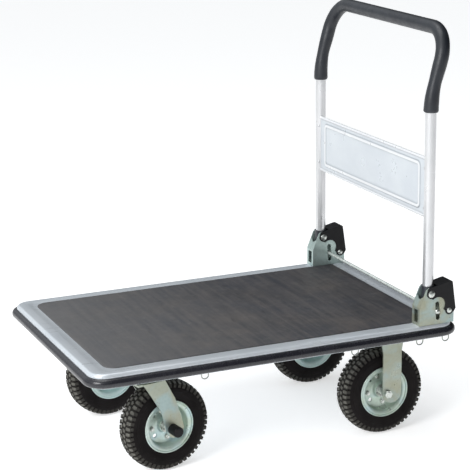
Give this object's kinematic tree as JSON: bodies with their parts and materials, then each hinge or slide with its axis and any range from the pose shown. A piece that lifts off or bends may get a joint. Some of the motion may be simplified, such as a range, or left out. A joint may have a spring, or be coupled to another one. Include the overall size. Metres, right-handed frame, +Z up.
{
  "type": "folding platform cart",
  "caption": "Flat-bed hand cart with a steel deck, matted top, fold-down push handle, pneumatic wheels, two swivel and two fixed casters.",
  "frame": {"origin": "on the floor, under the middle of the deck", "axes": "+X towards the handle end, +Y towards the right side of a person pushing, +Z up"},
  "size_m": [0.924, 0.624, 0.9875],
  "materials": {
    "deck_steel": "galvanised steel sheet, satin",
    "mat_rubber": "fine-ribbed vinyl mat, worn matt",
    "bumper_pvc": "glossy extruded edge strip",
    "zinc_plate": "zinc plated pressed steel, satin",
    "bright_zinc": "bright zinc plated fasteners",
    "cover_plastic": "moulded black plastic",
    "ferrule_plastic": "moulded dark grey plastic",
    "painted_tube": "light powder coat, semi gloss",
    "grip_foam": "smooth-skinned foam grip",
    "spring_steel": "spring wire",
    "tyre_rubber": "black moulded tyre rubber",
    "tube_rubber": "smooth rubber",
    "rim_zinc": "zinc plated pressed rim, semi bright"
  },
  "bodies": {
    "root": {"deck_panel": "deck_steel", "deck_mat": "mat_rubber", "edge_bumper": "bumper_pvc", "caster_channels": "deck_steel", "deck_stiffeners": "deck_steel", "lashing_eyes": "bright_zinc", "hinge_bracket_left": "zinc_plate", "hinge_bracket_right": "zinc_plate", "bracket_bolts": "bright_zinc", "hinge_cover_left": "cover_plastic", "hinge_cover_right": "cover_plastic", "pivot_pins": "bright_zinc", "cover_rivets": "bright_zinc", "latch_springs": "spring_steel", "fixed_fork_left": "zinc_plate", "fixed_fork_right": "zinc_plate", "fixed_axles": "bright_zinc", "swivel_plates": "zinc_plate", "king_pins": "bright_zinc", "caster_bolts": "bright_zinc"},
    "handle": {"handle_tube": "painted_tube", "handle_panel": "painted_tube", "panel_rivets": "bright_zinc", "handle_grip": "grip_foam", "tube_ferrule_left": "ferrule_plastic", "tube_ferrule_right": "ferrule_plastic"},
    "latch": {"latch_rod": "bright_zinc", "rod_caps": "bright_zinc"},
    "swivel_left": {"swivel_fork_left": "zinc_plate", "swivel_race_left": "bright_zinc", "swivel_axle_left": "bright_zinc", "axle_cap_left": "cover_plastic"},
    "swivel_right": {"swivel_fork_right": "zinc_plate", "swivel_race_right": "bright_zinc", "swivel_axle_right": "bright_zinc", "axle_cap_right": "cover_plastic"},
    "wheel_front_left": {"tyre_front_left": "tyre_rubber", "inner_tube_front_left": "tube_rubber", "rim_outer_front_left": "rim_zinc", "rim_inner_front_left": "rim_zinc", "rim_bolts_front_left": "bright_zinc", "bearings_front_left": "bright_zinc"},
    "wheel_front_right": {"tyre_front_right": "tyre_rubber", "inner_tube_front_right": "tube_rubber", "rim_outer_front_right": "rim_zinc", "rim_inner_front_right": "rim_zinc", "rim_bolts_front_right": "bright_zinc", "bearings_front_right": "bright_zinc"},
    "wheel_rear_left": {"tyre_rear_left": "tyre_rubber", "inner_tube_rear_left": "tube_rubber", "rim_outer_rear_left": "rim_zinc", "rim_inner_rear_left": "rim_zinc", "rim_bolts_rear_left": "bright_zinc", "bearings_rear_left": "bright_zinc"},
    "wheel_rear_right": {"tyre_rear_right": "tyre_rubber", "inner_tube_rear_right": "tube_rubber", "rim_outer_rear_right": "rim_zinc", "rim_inner_rear_right": "rim_zinc", "rim_bolts_rear_right": "bright_zinc", "bearings_rear_right": "bright_zinc"}
  },
  "joints": [
    {"name": "handle_fold", "type": "hinge", "parent": "root", "child": "handle", "pos_m": [0.383, 0, 0.361], "axis": [0, -1, 0], "range_deg": [0, 90]},
    {"name": "latch_press", "type": "slide", "parent": "root", "child": "latch", "axis": [0.0642, 0, -0.9979], "range_m": [0, 0.014], "stiffness_N_per_m": 300, "springref_m": -0.01, "deforming": ["latch_springs"]},
    {"name": "swivel_left", "type": "hinge", "parent": "root", "child": "swivel_left", "pos_m": [-0.301, -0.193, 0.225], "axis": [0, 0, 1], "continuous": true},
    {"name": "swivel_right", "type": "hinge", "parent": "root", "child": "swivel_right", "pos_m": [-0.301, 0.193, 0.225], "axis": [0, 0, 1], "continuous": true},
    {"name": "roll_front_left", "type": "hinge", "parent": "swivel_left", "child": "wheel_front_left", "pos_m": [-0.24654, -0.18535, 0.1066], "axis": [-0.1392, 0.9903, 0], "continuous": true},
    {"name": "roll_front_right", "type": "hinge", "parent": "swivel_right", "child": "wheel_front_right", "pos_m": [-0.24654, 0.20066, 0.1066], "axis": [-0.1392, 0.9903, 0], "continuous": true},
    {"name": "roll_rear_left", "type": "hinge", "parent": "root", "child": "wheel_rear_left", "pos_m": [0.305, -0.193, 0.1066], "axis": [0, 1, 0], "continuous": true},
    {"name": "roll_rear_right", "type": "hinge", "parent": "root", "child": "wheel_rear_right", "pos_m": [0.305, 0.193, 0.1066], "axis": [0, 1, 0], "continuous": true}
  ]
}
